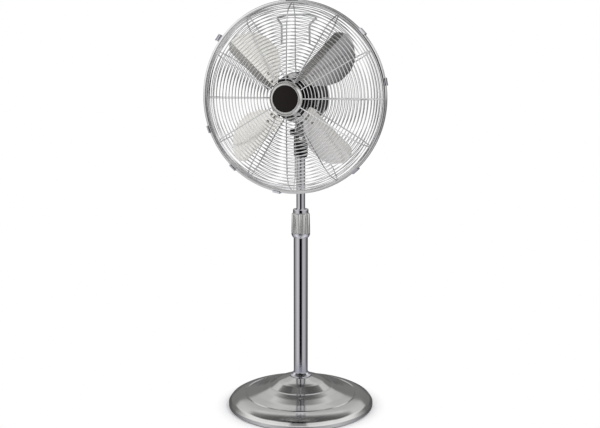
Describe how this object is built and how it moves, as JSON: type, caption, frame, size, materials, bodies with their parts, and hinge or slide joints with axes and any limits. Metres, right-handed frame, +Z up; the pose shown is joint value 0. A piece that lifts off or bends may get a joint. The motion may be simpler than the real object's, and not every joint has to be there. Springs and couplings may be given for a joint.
{
  "type": "pedestal fan",
  "caption": "Metal pedestal fan with a wire guard, pressed blades, a tilting and oscillating head, a telescopic pole and a round weighted base.",
  "frame": {"origin": "on the floor, on the axis of the pole", "axes": "+Z up the pole, -Y the way the fan blows, +X to the right of someone who faces the fan"},
  "size_m": [0.462, 0.37, 1.0208],
  "materials": {
    "brushed_nickel": "brushed nickel plate, satin",
    "cast_weight": "rough cast, painted",
    "foot_rubber": "matt rubber",
    "zinc_steel": "zinc plated",
    "pole_chrome": "polished chrome plate",
    "collar_silver": "bright satin plate",
    "guard_chrome": "polished chrome plate",
    "clip_steel": "polished chrome plate",
    "black_plastic": "fine matt moulding",
    "motor_enamel": "semi-gloss black enamel",
    "cast_grey": "die cast, satin",
    "natural_nylon": "plain moulding",
    "lamination_steel": "laminated stack",
    "copper_winding": "enamelled copper wire",
    "sintered_bronze": "oil filled bronze",
    "blade_aluminium": "satin polished sheet",
    "badge_black": "glossy"
  },
  "bodies": {
    "stand": {"base_cover": "brushed_nickel", "base_weight": "cast_weight", "rubber_feet": "foot_rubber", "pole_bolt": "zinc_steel", "tube_plug": "zinc_steel", "outer_tube": "pole_chrome", "base_collar": "collar_silver", "guide_bush": "natural_nylon", "collet": "natural_nylon", "collar_skirt": "pole_chrome"},
    "lock_collar": {"lock_collar": "collar_silver", "lock_cap": "pole_chrome"},
    "mast": {"inner_tube": "pole_chrome", "tube_slider": "natural_nylon", "pole_socket": "black_plastic", "tilt_fork": "cast_grey", "tilt_pin": "zinc_steel"},
    "tilt_knob": {"tilt_knob": "black_plastic"},
    "neck": {"neck": "cast_grey", "swivel_pin": "zinc_steel"},
    "head": {"swivel_boss": "cast_grey", "motor_front_cover": "motor_enamel", "motor_rear_cover": "motor_enamel", "stator": "lamination_steel", "windings": "copper_winding", "gear_case": "black_plastic", "capacitor": "black_plastic", "speed_switch": "black_plastic", "shaft_bushes": "sintered_bronze", "cord_gland": "black_plastic", "front_guard": "guard_chrome", "rear_guard": "guard_chrome", "guard_nut": "black_plastic", "badge_plate": "zinc_steel", "badge_ring": "guard_chrome", "badge_disc": "badge_black", "carry_handle": "motor_enamel"},
    "oscillation_knob": {"oscillation_knob": "black_plastic"},
    "speed_knob": {"speed_knob": "black_plastic"},
    "rotor": {"shaft": "zinc_steel", "rotor_core": "lamination_steel", "blade_1": "blade_aluminium", "blade_2": "blade_aluminium", "blade_3": "blade_aluminium", "blade_4": "blade_aluminium", "blade_spider": "cast_grey", "blade_nut": "zinc_steel"},
    "guard_clip_1": {"guard_clip_1": "clip_steel"},
    "guard_clip_2": {"guard_clip_2": "clip_steel"},
    "guard_clip_3": {"guard_clip_3": "black_plastic"},
    "guard_clip_4": {"guard_clip_4": "clip_steel"},
    "guard_clip_5": {"guard_clip_5": "clip_steel"},
    "guard_clip_6": {"guard_clip_6": "clip_steel"},
    "guard_clip_7": {"guard_clip_7": "clip_steel"},
    "guard_clip_8": {"guard_clip_8": "clip_steel"}
  },
  "joints": [
    {"name": "collar_turn", "type": "hinge", "parent": "stand", "child": "lock_collar", "pos_m": [0, 0, 0.475], "axis": [0, 0, 1], "range_deg": [0, 180]},
    {"name": "height_slide", "type": "slide", "parent": "stand", "child": "mast", "axis": [0, 0, 1], "range_m": [-0.06, 0.18]},
    {"name": "tilt_knob_turn", "type": "hinge", "parent": "mast", "child": "tilt_knob", "pos_m": [-0.02, 0, 0.702], "axis": [1, 0, 0], "range_deg": [-540, 0]},
    {"name": "tilt", "type": "hinge", "parent": "mast", "child": "neck", "pos_m": [0, 0, 0.702], "axis": [-1, 0, 0], "range_deg": [-8, 20]},
    {"name": "oscillation", "type": "hinge", "parent": "neck", "child": "head", "pos_m": [0, 0, 0.722], "axis": [0, 0, 1], "range_deg": [-40, 40]},
    {"name": "oscillation_knob_pull", "type": "slide", "parent": "head", "child": "oscillation_knob", "axis": [0, 0, 1], "range_m": [0, 0.008]},
    {"name": "speed_knob_turn", "type": "hinge", "parent": "head", "child": "speed_knob", "pos_m": [0, 0.1, 0.787], "axis": [0, -1, 0], "range_deg": [0, 120]},
    {"name": "fan_spin", "type": "hinge", "parent": "head", "child": "rotor", "pos_m": [0, -0.074, 0.787], "axis": [0, -1, 0], "continuous": true},
    {"name": "guard_clip_1_open", "type": "hinge", "parent": "head", "child": "guard_clip_1", "pos_m": [0.22257, -0.058, 0.82624], "axis": [-0.1736, 0, 0.9848], "range_deg": [0, 60]},
    {"name": "guard_clip_2_open", "type": "hinge", "parent": "head", "child": "guard_clip_2", "pos_m": [0.16795, -0.058, 0.93822], "axis": [-0.6691, 0, 0.7431], "range_deg": [0, 60]},
    {"name": "guard_clip_3_open", "type": "hinge", "parent": "head", "child": "guard_clip_3", "pos_m": [0, -0.058, 1.013], "axis": [-1, 0, 0], "range_deg": [0, 60]},
    {"name": "guard_clip_4_open", "type": "hinge", "parent": "head", "child": "guard_clip_4", "pos_m": [-0.18049, -0.058, 0.92301], "axis": [-0.6018, 0, -0.7986], "range_deg": [-55, 5]},
    {"name": "guard_clip_5_open", "type": "hinge", "parent": "head", "child": "guard_clip_5", "pos_m": [-0.21237, -0.058, 0.7097], "axis": [0.342, 0, -0.9397], "range_deg": [0, 60]},
    {"name": "guard_clip_6_open", "type": "hinge", "parent": "head", "child": "guard_clip_6", "pos_m": [-0.15122, -0.058, 0.61905], "axis": [0.7431, 0, -0.6691], "range_deg": [0, 60]},
    {"name": "guard_clip_7_open", "type": "hinge", "parent": "head", "child": "guard_clip_7", "pos_m": [-0.03924, -0.058, 0.56443], "axis": [0.9848, 0, -0.1736], "range_deg": [0, 60]},
    {"name": "guard_clip_8_open", "type": "hinge", "parent": "head", "child": "guard_clip_8", "pos_m": [0.15413, -0.058, 0.62171], "axis": [0.7314, 0, 0.682], "range_deg": [0, 60]}
  ]
}
